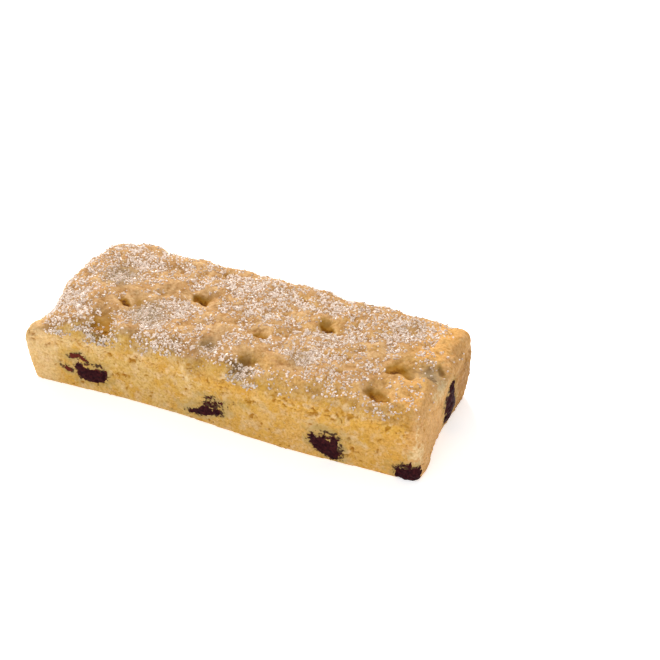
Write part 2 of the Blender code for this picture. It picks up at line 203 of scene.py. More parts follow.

# Pricks and folds pressed from the front, each steep at its near rim and browned up its far wall, with
# painted shade darkest in its depth:
# x and y of the rim, half width, length, depth, brownness with painted shade, and lean.
PRICK_WANDER = 1.1
PRICKS = (
    (-27.6, -5.6, 1.5, 2.2, 0.7, 0.95, -0.8),
    (-25.0, -5.4, 1.7, 3.0, 0.5, 0.5, 0.0),
    (-12.3, 1.0, 2.1, 2.8, 1.7, 1.0, -0.2),
    (4.9, -5.4, 1.9, 2.8, 0.8, 0.75, 0.1),
    (17.9, 2.8, 2.0, 3.0, 1.0, 0.85, -0.8),
    (36.2, -5.3, 2.5, 4.8, 0.8, 0.8, 0.2),
    (39.4, -5.3, 1.5, 3.6, 0.5, 0.6, -0.2),
    (-28.9, -15.4, 3.4, 6.5, 0.8, 0.65, -0.2),
    (-4.4, -12.8, 1.6, 4.4, 0.6, 0.35, -0.2),
    (5.2, -14.0, 3.2, 3.4, 0.1, 0.45, 0.0),
    (36.2, -13.6, 3.2, 3.6, 0.8, 0.8, -0.6),
    (45.2, -0.2, 1.0, 2.0, 0.5, 0.7, -0.5),
    (-12.0, 12.2, 0.8, 1.2, 0.3, 0.4, 0.0),
    (-29.0, 9.0, 0.7, 1.2, 0.3, 0.35, 0.0),
    (36.5, 1.2, 3.6, 4.5, 0.15, 0.13, 0.0),
    (-5.7, -17.3, 2.6, 2.4, 0.1, 0.18, 0.0),
)

# Where a packed dimple is deeper than it should look: x, y, reach and height added.
FILLS = (
    (4.6, -13.2, 3.4, 1.3),
    (36.8, -3.4, 3.4, 0.5),
    (-22.0, 13.6, 4.0, 0.4),
    (0.0, 14.0, 7.0, 0.6),
    (10.0, 14.4, 5.0, 0.5),
)

# Where the cut front has crumbled most: x, height, half widths and amount.
CRUMBLED = (
    (-17.0, 12.4, 6.0, 2.0, 0.9),
    (-38.5, 10.5, 2.5, 1.6, 0.5),
    (14.5, 13.8, 4.5, 1.4, 0.8),
    (31.0, 13.8, 8.0, 1.8, 0.9),
    (41.0, 12.5, 4.0, 2.0, 0.6),
    (30.0, 3.5, 2.5, 1.6, 0.8),
    (8.0, 6.0, 1.6, 1.2, 0.5),
)

# Hollows whose bottoms are painted dark between the sugar grains, as shade: x, y and half widths.
SPECKLED_SHADE = ((5.4, -15.2, 4.4, 1.5), (-29.5, -15.8, 3.6, 0.9), (44.0, -3.4, 1.6, 1.4))

# Places where paler crumb shows through the crust: place, half width and amount.
PALE_CRUMB = (
    ((46.4, -2.6, 15.6), 1.9, 1.2),
    ((46.4, -6.3, 15.6), 1.3, 0.8),
    ((46.2, -16.0, 7.6), 2.2, 0.9),
    ((-7.0, -17.2, 11.6), 2.6, 0.6),
)

# Sugar caught on the front shoulder, under the pressed hollows: x, height, half widths.
LEDGES_MOST_Y = -12.0
LEDGE_DENSITY = 1.7
LEDGES = (
    (-29.2, 14.8, 3.6, 1.2),
    (-38.0, 14.5, 3.2, 0.6),
    (5.6, 15.0, 3.6, 1.1),
    (-13.7, 16.9, 3.0, 1.3),
)

# Grey patches, where the sugar is also duller: partly chips just under the crust, whose dough is grey over
# them, and partly painted shade: place, half width, amount.
GREY_AND_SHADED_PATCHES = (
    ((-33.0, 3.0, 18.0), 4.2, 1.0),
    ((-43.0, -7.5, 16.5), 3.4, 0.4),
    ((-21.0, -7.0, 18.0), 4.4, 1.0),
    ((-15.5, -2.5, 18.0), 3.0, 0.4),
    ((16.5, -8.6, 18.0), 3.0, 0.7),
    ((33.6, 11.3, 18.5), 3.6, 0.4),
    ((43.2, -2.2, 17.0), 3.6, 1.1),
    ((-4.4, -11.6, 17.0), 2.8, 0.8),
    ((5.4, -15.0, 15.6), 2.8, 0.6),
    ((17.4, 1.6, 18.0), 2.0, 0.4),
)

# Where sugar lies thick or thin on the top: x, y, half width along x and y, amount.
DRIFTS = (
    (-33.0, 2.5, 5.0, 2.6, 0.7),
    (-37.0, 11.0, 6.0, 6.0, 0.4),
    (-43.0, -8.0, 3.4, 4.6, 1.2),
    (-44.5, -15.5, 3.4, 3.4, -1.2),
    (-34.0, -13.0, 3.0, 3.0, 0.5),
    (-21.0, -7.5, 4.6, 4.0, 0.65),
    (-15.5, -2.5, 4.0, 3.0, 1.0),
    (-26.5, 9.0, 4.0, 2.4, 0.5),
    (-2.0, 9.5, 10.0, 4.0, 0.8),
    (1.0, 2.0, 5.0, 3.0, 0.5),
    (20.0, -3.0, 3.4, 4.0, 0.7),
    (16.0, -8.5, 3.4, 2.8, 0.6),
    (25.0, 2.5, 3.0, 3.0, 0.5),
    (32.0, 9.0, 4.4, 4.4, 0.9),
    (20.0, 11.5, 4.0, 2.4, 0.4),
    (-3.6, -12.5, 2.4, 3.0, 0.8),
    (5.6, -15.6, 4.6, 1.6, 1.8),
    (-29.0, -16.4, 5.0, 1.8, 1.8),
    (-37.5, -16.2, 4.0, 1.6, 1.2),
    (-15.0, -14.0, 6.0, 2.4, 0.7),
    (25.5, -13.5, 2.4, 2.6, 0.7),
    (36.8, -15.0, 3.2, 1.2, 1.4),
    (17.6, 1.4, 3.0, 1.4, 0.8),
    (5.2, -6.6, 2.4, 1.2, 0.5),
    (43.5, 1.4, 1.6, 0.9, 0.5),
    (-30.0, -0.4, 5.0, 1.8, -0.8),
    (-27.0, -4.0, 2.6, 2.2, -1.2),
    (-19.5, 2.5, 3.0, 3.4, -0.7),
    (-28.0, 5.6, 4.0, 1.6, -0.5),
    (-38.5, -1.5, 3.0, 2.2, -0.3),
    (-30.0, -9.5, 3.4, 2.6, -0.6),
    (-12.0, 2.4, 2.6, 2.2, -1.8),
    (-6.5, -4.0, 3.2, 4.0, -0.1),
    (5.0, -3.6, 2.4, 2.0, -0.8),
    (17.6, 4.6, 2.8, 2.2, -1.0),
    (9.5, 5.0, 3.6, 2.4, -0.5),
    (11.5, -11.5, 4.0, 2.4, -0.9),
    (30.0, 1.0, 3.4, 2.4, -0.4),
    (26.0, -6.0, 3.0, 3.0, -0.3),
    (44.5, 8.0, 2.6, 7.0, -0.9),
    (44.5, -9.5, 4.0, 5.0, -0.5),
    (36.5, 3.6, 3.4, 2.4, -0.5),
    (43.0, -1.6, 2.6, 1.8, -0.5),
    (-13.5, -15.4, 3.2, 1.4, 1.4),
    (15.8, 9.0, 4.0, 3.0, 0.6),
    (-5.5, -5.0, 3.0, 3.0, -0.3),
    (-39.5, -9.6, 3.4, 3.4, 0.6),
    (-4.8, -16.0, 2.6, 1.4, -0.9),
    (5.2, -11.5, 3.8, 2.4, -1.0),
    (36.6, -2.6, 3.6, 3.0, -1.1),
    (35.5, -11.4, 3.0, 2.2, -1.0),
    (-5.0, -9.0, 2.2, 2.4, -0.6),
    (38.0, -8.5, 5.0, 2.0, -0.3),
)


def noise_points(array_of_points, spacing, seed):
    """Points moved to where noise of this spacing is read, elsewhere for each seed."""
    offset = Vector((seed * 7.13, seed * 3.71, seed * 5.37))
    scale = 1.0 / spacing
    return [Vector(p) * scale + offset for p in array_of_points]


def lookup(array_of_points, spacing, seed):
    """Smooth noise between about -1 and 1 at each point, one bump to each spacing."""
    return np.array([noise.noise(p) for p in noise_points(array_of_points, spacing, seed)])


def cell_walls(array_of_points, spacing, seed):
    """0 on the walls between random cells of this size, rising towards their middles."""
    nearest = [noise.voronoi(p)[0] for p in noise_points(array_of_points, spacing, seed)]
    return np.array([distances[1] - distances[0] for distances in nearest])


def layered(array_of_points, layers):
    """The sum of layers of smooth noise, each a height, a spacing and a seed."""
    return sum(height * lookup(array_of_points, spacing, seed) for height, spacing, seed in layers)


def bell(distance_squared):
    """1 in the middle, falling off smoothly."""
    return np.exp(-distance_squared)


def squares(places, axes, middle, half_widths):
    """How far places are from a middle along two axes, squared, in half widths."""
    return (((places[:, axes] - middle) / half_widths) ** 2).sum(1)


def marked(places, marks):
    """The strongest of some round marks at each place: middle, half width, amount."""
    strength = np.zeros(len(places))
    for middle, reach, amount in marks:
        strength = np.maximum(strength, amount * bell(((places - middle) ** 2).sum(1) / reach**2))
    return strength


def ramp(value, start, end):
    """0 before start, 1 past end, and an even curve between them."""
    t = np.clip((value - start) / (end - start), 0.0, 1.0)
    return t * t * (3.0 - 2.0 * t)


def places_of(mesh):
    flat = np.empty(len(mesh.vertices) * 3, np.float32)
    mesh.vertices.foreach_get("co", flat)
    return flat.reshape(-1, 3).astype(float) / MM


def set_places(mesh, places):
    mesh.vertices.foreach_set("co", (places * MM).astype(np.float32).ravel())
    mesh.update()


def normals_of(mesh):
    flat = np.empty(len(mesh.vertices) * 3, np.float32)
    mesh.vertex_normals.foreach_get("vector", flat)
    return flat.reshape(-1, 3).astype(float)


def edges_of(mesh):
    flat = np.empty(len(mesh.edges) * 2, np.int32)
    mesh.edges.foreach_get("vertices", flat)
    return flat.reshape(-1, 2)


def spread(values, edges, rounds, share=0.5):
    """Values at the vertices, each moved towards the mean of its neighbours."""
    count = len(values)
    ends = np.concatenate([edges[:, 0], edges[:, 1]])
    others = np.concatenate([edges[:, 1], edges[:, 0]])
    degree = np.maximum(np.bincount(ends, minlength=count), 1)
    columns = [np.array(column) for column in np.atleast_2d(values.T)]
    for _ in range(rounds):
        for i, column in enumerate(columns):
            mean = np.bincount(ends, weights=column[others], minlength=count) / degree
            columns[i] = column + share * (mean - column)
    return columns[0] if values.ndim == 1 else np.stack(columns, axis=1)


def mesh_object(name, places, faces):
    """An object whose mesh has these places, in millimetres, and smooth faces."""
    mesh = bpy.data.meshes.new(name)
    mesh.from_pydata((np.asarray(places) * MM).tolist(), [], faces)
    mesh.update()
    mesh.shade_smooth()
    piece = bpy.data.objects.new(name, mesh)
    bpy.context.scene.collection.objects.link(piece)
    return piece


def contents(build):
    """The places, normals and faces of a bmesh, which is freed."""
    places = np.array([v.co for v in build.verts])
    normals = np.array([v.normal for v in build.verts])
    faces = [[v.index for v in face.verts] for face in build.faces]
    build.free()
    return places, normals, faces


def set_attribute(mesh, name, values):
    """Keeps a number at each vertex, for the material to read."""
    attribute = mesh.attributes.new(name, "FLOAT", "POINT")
    attribute.data.foreach_set("value", np.asarray(values, np.float32))


# ---- the dough ------------------------------------------------------------------


def grown_copy(node, growth):
    """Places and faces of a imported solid, grown outwards."""
    build = bmesh.new()
    build.from_mesh(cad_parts[node].data)
    bmesh.ops.remove_doubles(build, verts=build.verts, dist=MERGE_DISTANCE * MM)
    bmesh.ops.recalc_face_normals(build, faces=build.faces)
    build.normal_update()
    places, normals, faces = contents(build)
    return places / MM + normals * growth, faces


def ball(middle, radius):
    """Places and faces of a closed ball."""
    build = bmesh.new()
    bmesh.ops.create_icosphere(build, subdivisions=3, radius=radius)
    places, _, faces = contents(build)
    return places + middle, faces


def hole_share(places):
    """1 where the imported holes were, falling to 0 around them."""
    share = np.zeros(len(places))
    for hole in HOLES:
        share = np.maximum(share, bell(squares(places, X_AND_Y, hole, HOLE_REACH)))
    return share * ramp(places[:, 2], *PACKED_HOLES_Z)


def hole_plug(hole, places):
    """A ball that fills a packed hole to just under its rim."""
    away = np.hypot(places[:, 0] - hole[0], places[:, 1] - hole[1])
    near = (away > HOLE_RIM[0]) & (away < HOLE_RIM[1]) & (places[:, 2] > HOLE_RIM_LEAST_Z)
    return ball((*hole, places[near, 2].mean() - PLUG_SINK - PLUG_RADIUS), PLUG_RADIUS)


def dough_mesh():
    """One closed mesh of even pitch, from the dough, its chips and the plugs."""
    shells = [grown_copy(node, SOCKET_CLOSING) for node in ["shortbread_dough"] + CHIP_NODES]
    shells += [hole_plug(hole, shells[0][0]) for hole in HOLES]
    faces = []
    start = 0
    for shell_places, shell_faces in shells:
        faces += [[i + start for i in face] for face in shell_faces]
        start += len(shell_places)
    blank = mesh_object("blank", np.concatenate([shell_places for shell_places, _ in shells]), faces)
    remesh = blank.modifiers.new("even_pitch", "REMESH")
    remesh.mode = "VOXEL"
    remesh.voxel_size = PITCH * MM
    evaluated = blank.evaluated_get(bpy.context.evaluated_depsgraph_get())
    mesh = bpy.data.meshes.new_from_object(evaluated)
    bpy.data.objects.remove(blank)
    edges = edges_of(mesh)
    set_places(mesh, spread(places_of(mesh), edges, SMOOTHING_ROUNDS))
    set_places(mesh, places_of(mesh) - normals_of(mesh) * SOCKET_CLOSING)
    places = spread(places_of(mesh), edges, LAST_SMOOTHING_ROUNDS)
    places += (spread(places, edges, HOLE_SMOOTHING_ROUNDS) - places) * hole_share(places)[:, None]
    set_places(mesh, places)
    return mesh


def crust_share(places, normals):
    """1 where the finger was baked from above, 0 on the cut sides and the base."""
    wander = lookup(places * (1, 1, 0.5), 9.0, 1) + 0.5 * lookup(places, 2.6, 2)
    height = places[:, 2] + CRUST_LINE_WANDER * wander
    baked = ramp(height, CRUST_LINE - CRUST_LINE_SOFTNESS, CRUST_LINE + CRUST_LINE_SOFTNESS)
    return baked * ramp(normals[:, 2], -0.4, 0.5)


def prick_marks(places):
    """How deep the pricks press each place, and how brown they leave it, painted shade included."""
    wander = PRICK_WANDER * np.stack([lookup(places, 2.6, 24), lookup(places, 2.6, 25)], axis=1)
    pressed = np.zeros(len(places))
    brown_and_shade = np.zeros(len(places))
    for x, y, half_width, length, deep, brown_and_shade_amount, lean in PRICKS:
        along = places[:, 1] + wander[:, 1] - y
        across = np.abs(places[:, 0] + wander[:, 0] - x - lean * along) / half_width
        inside = 1.0 - ramp(across, 0.35, 1.15)
        fall = np.clip(1.0 - (along - 0.3) / (length - 0.3), 0.0, 1.0)
        pressed += deep * inside * (ramp(along, -0.5, 0.5) * fall**1.4)
        tint = ramp(along, -0.6, 0.1) * (1.0 - ramp(along, 0.15 * length, 1.2 * length))
        brown_and_shade = np.maximum(brown_and_shade, brown_and_shade_amount * inside * tint)
    return pressed, brown_and_shade * ramp(places[:, 2], *PRICKED_Z)


def crumbliness(places, normals, seam, patchy):
    """How crumbly the cut sides are: most of all along the seam under the crust."""
    crumbly = 0.1 + 0.5 * ramp(places[:, 0], *CRUMBLY_X) * patchy + 0.75 * seam * patchy
    for x, z, reach_x, reach_z, amount in CRUMBLED:
        away = squares(places, X_AND_Z, (x, z), (reach_x, reach_z))
        crumbly += 0.6 * amount * bell(away) * (normals[:, 1] < 0.0)
    return np.clip(crumbly, 0.0, 1.0)


def crumbled(places, layers, crumbly):
    """Patches of noise, which spread where the dough is crumbly."""
    return ramp(layered(places, layers), 0.66 - 0.5 * crumbly, 0.9 - 0.5 * crumbly)


def shape_dough(mesh):
    """Adds the fine relief, and returns what the toppings need."""
    places = places_of(mesh)
    normals = normals_of(mesh)
    crust = crust_share(places, normals)
    side = 1.0 - crust
    base = ramp(-normals[:, 2], 0.6, 0.95)

    pressed, brown_and_shade = prick_marks(places)
    lumps = layered(places, LUMPS) - LUMP_SINK - pressed
    for x, y, reach, height in FILLS:
        lumps += height * bell(squares(places, X_AND_Y, (x, y), reach))

    patchy = ramp(lookup(places, 5.0, 17), -0.25, 0.35)
    seam = bell(((places[:, 2] - CRUST_LINE) / SEAM_REACH) ** 2)
    crumbly = crumbliness(places, normals, seam, patchy)
    pits = crumbled(places, PITS, crumbly)
    flakes = crumbled(places, FLAKES, crumbly)
    grooves = 1.0 - ramp(cell_walls(places * (0.8, 0.8, 1.3), 1.5, 20), 0.0, 0.22)
    crack_line = bell(((places[:, 2] - CRUST_LINE) / CRACK_LINE_REACH) ** 2)
    crack_line *= ramp(-normals[:, 2], -0.85, -0.3) * ramp(lookup(places, 2.8, 19), -0.1, 0.35)
    crack = grooves * np.clip(crack_line + 0.08 * side * patchy, 0.0, 1.0)

    marks = {"grey_and_shade": marked(places, GREY_AND_SHADED_PATCHES), "righter": ramp(places[:, 0], *RIGHTER_X), "pit": pits,
             "flake": flakes, "crack": crack, "seam": seam * side}
    depth = side * (layered(places, CRUMB) - PIT_DEPTH * pits + FLAKE_HEIGHT * flakes)
    depth += crust * lumps - CRACK_DEPTH * crack + CRACK_LIP * crack_line
    places = np.clip(places + normals * (depth * (1.0 - base))[:, None], LOW, HIGH)
    flat = base > 0.5
    places[flat, 2] = np.where(places[flat, 2] < 0.25, 0.0, places[flat, 2])
    set_places(mesh, places)
    return mark_dough(mesh, places, brown_and_shade, side, marks)


def mark_dough(mesh, places, brown_and_shade, side, marks):
    """Keeps at each vertex what the material needs, and returns what the toppings need."""
    edges = edges_of(mesh)
    normals = normals_of(mesh)
    hollow = {width: ((spread(places, edges, rounds) - places) * normals).sum(1)
              for width, rounds in HOLLOW_ROUNDS.items()}
    baked = ramp(normals[:, 2] + 0.14 * lookup(places, 3.0, 21), 0.45, 0.85)
    baked *= ramp(places[:, 2], *SHOULDER_Z)
    forward = ramp(-normals[:, 1], 0.0, 0.45)
    # Painted shade on the front-facing slopes of wide hollows in the crust.
    brown_and_shade = np.maximum(brown_and_shade, 0.5 * ramp(hollow["wide"], 0.6, 1.3) * baked * forward)
    # Painted shade between the grains at the bottoms of some hollows.
    speckle_shade = np.zeros(len(places))
    for x, y, reach_x, reach_y in SPECKLED_SHADE:
        away = squares(places, X_AND_Y, (x, y), (reach_x, reach_y))
        speckle_shade = np.maximum(speckle_shade, bell(away**2))
    ridge = ramp(normals[:, 0], 0.35, 0.65) * ramp(-normals[:, 1], 0.35, 0.6)
    pale_crumb = marked(places, PALE_CRUMB) * (1.0 + 0.8 * lookup(places, 0.8, 46))
    # Painted shade that darkens the right end towards the back.
    far_end_shade = ramp(places[:, 1] + 1.5 * lookup(places, 4.0, 35), *FAR_END_Y)
    # Painted shade on the cut sides that face back or left, towards the key light.
    back_left_shading = np.maximum(ramp(normals[:, 1], 0.2, 0.8), ramp(-normals[:, 0], 0.3, 0.8))
    marks = {
        **marks,
        "baked": baked,
        "brown_and_shade": brown_and_shade,
        # Painted light on the crust that faces forward, on the right half.
        "front_painted_light": forward * ramp(places[:, 0], *FRONT_PAINTED_LIGHT_X),
        "hollow_near": hollow["near"],
        "hollow_middling": hollow["middling"],
        "speckle_shade": speckle_shade * ramp(places[:, 2], *SPECKLED_Z),
        "pale_crumb": np.maximum(pale_crumb, 0.55 * ridge),
        "end_face": ramp(places[:, 0] + 0.8 * lookup(places, 3.0, 26), *END_FACE_X),
        "far_end_shade": far_end_shade * (1.0 - 0.7 * ramp(places[:, 2], *SHOULDER_Z)),
        "back_left_painted_shade": back_left_shading * side,
        "pale_end": 1.0 - ramp(places[:, 0] + 1.5 * lookup(places, 4.0, 39), *PALE_END_X),
        "right_crust": ramp(places[:, 0] + 2.0 * lookup(places, 4.0, 36), *RIGHT_CRUST_X),
    }
    for name, values in marks.items():
        set_attribute(mesh, name, values)
    return {"places": places, "normals": normals, "brown_and_shade": brown_and_shade, "middling": hollow["middling"],
            "grey_and_shade": marks["grey_and_shade"]}


# ---- materials ------------------------------------------------------------------

# The cut sides, from the paler left to the warmer right, and what mottles them.
CREAM = (0.69, 0.48, 0.25, 1)
YELLOW = (0.65, 0.43, 0.145, 1)
WARM_YELLOW = (0.67, 0.387, 0.102, 1)
ORANGE = (0.62, 0.345, 0.060, 1)
RIGHT_SIDE = (0.69, 0.36, 0.060, 1)
BAND_DARK = (0.68, 0.355, 0.052, 1)
BAND_LEFT = (0.80, 0.58, 0.29, 1)
BAND_RIGHT = (0.79, 0.465, 0.10, 1)
FLAKE = (0.79, 0.56, 0.31, 1)
PIT = (0.46, 0.215, 0.015, 1)
PORE = (0.38, 0.18, 0.020, 1)
CRACK = (0.42, 0.18, 0.015, 1)
PALE_SIDE = (0.74, 0.52, 0.28, 1)
# Painted shade on the cut sides that face back or left, towards the key light.
BACK_LEFT_PAINTED_SHADE = (0.84, 0.78, 0.74, 1)

# The crust, bare and between the grains of sugar.
GOLDEN = (0.55, 0.345, 0.165, 1)
AMBER = (0.45, 0.25, 0.100, 1)
# Painted shade between the sugar grains, whose own shadows are switched off.
PAINTED_SHADE_BETWEEN_GRAINS = (0.37, 0.205, 0.082, 1)
DUSTED = (0.37, 0.25, 0.155, 1)
RIGHT_CRUST = (0.72, 0.385, 0.110, 1)
# Painted light on the crust that faces forward, on the right half.
FRONT_PAINTED_LIGHT = (0.72, 0.435, 0.145, 1)
# Painted shade in the middling hollows of the crust.
CRUST_HOLLOW_PAINTED_SHADE = (0.32, 0.16, 0.038, 1)
CRUST_FLECK = (0.28, 0.13, 0.03, 1)

# The right end, with painted shade towards its back, and marks that lie over crust and sides alike, some
# of them painted shade.
END_NEAR = (0.71, 0.405, 0.165, 1)
END_FAR_SHADE = (0.33, 0.155, 0.045, 1)
END_DARK = (0.52, 0.25, 0.05, 1)
END_LIGHT = (0.80, 0.53, 0.28, 1)
PALE_CRUMBS = (0.82, 0.62, 0.34, 1)
GRAIN_SHADE = (0.72, 0.60, 0.42, 1)
# Browning of the pricks and hollows, with painted shade, darkest in their depths.
BROWNED_AND_SHADED = ((0.04, 0.4, 0.95, (0.32, 0.165, 0.030, 1)),
           (0.35, 0.7, 1.0, (0.30, 0.125, 0.006, 1)),
           (0.65, 1.0, 1.0, (0.11, 0.034, 0.001, 1)))
# Painted shade in the small hollows.
NEAR_HOLLOW_PAINTED_SHADE = (0.75, 0.60, 0.42, 1)
GREY_AND_PAINTED_SHADE = (0.22, 0.165, 0.095, 1)
PAINTED_GAP_SHADE = (0.13, 0.075, 0.035, 1)
CHIP_STAIN = (0.42, 0.29, 0.095, 1)
CHIP_SMUDGE = (0.035, 0.012, 0.010, 1)

CHOCOLATE_DARK = (0.018, 0.0036, 0.0060, 1)
CHOCOLATE_LIGHT = (0.056, 0.0110, 0.0130, 1)
CHOCOLATE_THIN = (0.115, 0.019, 0.012, 1)
SUGAR_DULL = (0.48, 0.365, 0.275, 1)
SUGAR_BRIGHT = (0.76, 0.65, 0.575, 1)


class Painter:
    """A material, and the nodes that paint it."""

    def __init__(self, name):
        self.material = bpy.data.materials.new(name)
        self.material.use_nodes = True
        self.nodes = self.material.node_tree.nodes
        self.links = self.material.node_tree.links
        self.shader = self.nodes["Principled BSDF"]

    def set(self, **values):
        """Sets the shader's own sockets."""
        for name, value in values.items():
            self.shader.inputs[name.replace("_", " ")].default_value = value

    def attribute(self, name):
        node = self.nodes.new("ShaderNodeAttribute")
        node.attribute_name = name
        return node.outputs["Fac"]

    def mapped(self, value, start, end, low=0.0, high=1.0):
        node = self.nodes.new("ShaderNodeMapRange")
        for name, number in (("From Min", start), ("From Max", end), ("To Min", low), ("To Max", high)):
            node.inputs[name].default_value = number
        self.links.new(value, node.inputs["Value"])
        return node.outputs["Result"]

    def grain(self, scale, detail=3.0, roughness=0.6):
        node = self.nodes.new("ShaderNodeTexNoise")
        for name, number in (("Scale", scale), ("Detail", detail), ("Roughness", roughness)):
            node.inputs[name].default_value = number
        place = self.nodes.new("ShaderNodeTexCoord").outputs["Object"]
        self.links.new(place, node.inputs["Vector"])
        return node.outputs["Fac"]

    def joined(self, operation, first, second):
        node = self.nodes.new("ShaderNodeMath")
        node.operation = operation
        self.links.new(first, node.inputs[0])
        self.links.new(second, node.inputs[1])
        return node.outputs[0]

    def mix(self, factor, first, second, kind="MIX"):
        node = self.nodes.new("ShaderNodeMix")
        node.data_type = "RGBA"
        node.blend_type = kind
        for socket, value in ((node.inputs[0], factor), (node.inputs[6], first), (node.inputs[7], second)):
            if isinstance(value, bpy.types.NodeSocket):
                self.links.new(value, socket)
            else:
                socket.default_value = value
        return node.outputs[2]

    def over(self, under, source, span, colour, kind="MIX"):
        """A colour over another, from where a source starts to where it is full."""
        start, end, most = span
        return self.mix(self.mapped(source, start, end, 0.0, most), under, colour, kind)

    def graded(self, value, start, end, dark, light):
        """A colour ramp between two colours."""
        node = self.nodes.new("ShaderNodeValToRGB")
        for element, position, colour in zip(node.color_ramp.elements, (start, end), (dark, light)):
            element.position = position
            element.color = colour
        self.links.new(value, node.inputs["Fac"])
        return node.outputs["Color"]

    def finish(self, colour, height=None, strength=0.0, distance=0.0):
        """Joins the colour and the bump to the shader, and returns the material."""
        self.links.new(colour, self.shader.inputs["Base Color"])
        if height:
            bump = self.nodes.new("ShaderNodeBump")
            bump.inputs["Strength"].default_value = strength
            bump.inputs["Distance"].default_value = distance * MM
            self.links.new(height, bump.inputs["Height"])
            self.links.new(bump.outputs["Normal"], self.shader.inputs["Normal"])
        return self.material


def side_colour(paint):
    """The cut sides: mottled crumb, the seam under the crust, pits, pores and cracks, and painted shade on
    the sides that face back or left.
    """
    righter = paint.attribute("righter")
    yellow = paint.mix(righter, YELLOW, WARM_YELLOW)
    seam = paint.over(BAND_DARK, paint.grain(330.0, 4.0), (0.42, 0.60, 1.0),
                      paint.mix(righter, BAND_LEFT, BAND_RIGHT))
    colour = paint.over(ORANGE, paint.grain(260.0, 4.0), (0.36, 0.56, 1.0), yellow)
    colour = paint.over(colour, paint.grain(430.0, 4.0), (0.48, 0.64, 0.8), CREAM)
    colour = paint.over(colour, paint.attribute("right_crust"), (0.0, 1.0, 0.6), RIGHT_SIDE)
    colour = paint.over(colour, paint.attribute("seam"), (0.2, 0.9, 0.75), seam)
    colour = paint.over(colour, paint.attribute("flake"), (0.0, 1.0, 0.7), FLAKE)
    colour = paint.over(colour, paint.attribute("pit"), (0.0, 1.0, 0.85), PIT)
    colour = paint.over(colour, paint.grain(1500.0), (0.57, 0.70, 0.6), PORE)
    colour = paint.over(colour, paint.attribute("crack"), (0.3, 1.0, 0.6), CRACK)
    colour = paint.over(colour, paint.attribute("pale_end"), (0.0, 1.0, 0.5), PALE_SIDE)
    # Painted shade on the cut sides that face back or left.
    return paint.mix(paint.attribute("back_left_painted_shade"), colour, BACK_LEFT_PAINTED_SHADE, "MULTIPLY")


def crust_colour(paint):
    """The baked top: mottled gold, with painted shade between the grains and in hollows, and painted light
    where it faces forward.
    """
    haze = paint.attribute("sugar_haze")
    colour = paint.over(GOLDEN, paint.grain(240.0), (0.40, 0.58, 1.0), AMBER)
    # Painted shade between the sugar grains, thicker where the sugar lies thick.
    colour = paint.over(colour, haze, (0.1, 0.6, 1.0), PAINTED_SHADE_BETWEEN_GRAINS)
    colour = paint.over(colour, haze, (0.5, 1.5, 0.8), DUSTED)
    colour = paint.over(colour, paint.attribute("right_crust"), (0.0, 1.0, 0.8), RIGHT_CRUST)
    # Painted light on the crust that faces forward, on the right half.
    colour = paint.over(colour, paint.attribute("front_painted_light"), (0.0, 1.0, 0.6), FRONT_PAINTED_LIGHT)
    # Painted shade in the middling hollows of the crust.
    colour = paint.over(colour, paint.attribute("hollow_middling"), (0.0, 0.2, 0.8), CRUST_HOLLOW_PAINTED_SHADE)
    return paint.over(colour, paint.grain(900.0, 4.0), (0.50, 0.70, 0.6), CRUST_FLECK)


def end_colour(paint):
    """The face at the right end, with painted shade that darkens it towards the back."""
    colour = paint.mix(paint.attribute("far_end_shade"), END_NEAR, END_FAR_SHADE)
    colour = paint.over(colour, paint.grain(300.0, 4.0), (0.50, 0.68, 0.6), END_DARK)
    return paint.over(colour, paint.grain(700.0), (0.54, 0.66, 0.4), END_LIGHT)


def broken_up(paint, name, scale, detail, start, end, low, high):
    """An attribute with a grain added, so that its edge is broken up."""
    grain = paint.mapped(paint.grain(scale, detail), start, end, low, high)
    return paint.joined("ADD", paint.attribute(name), grain)


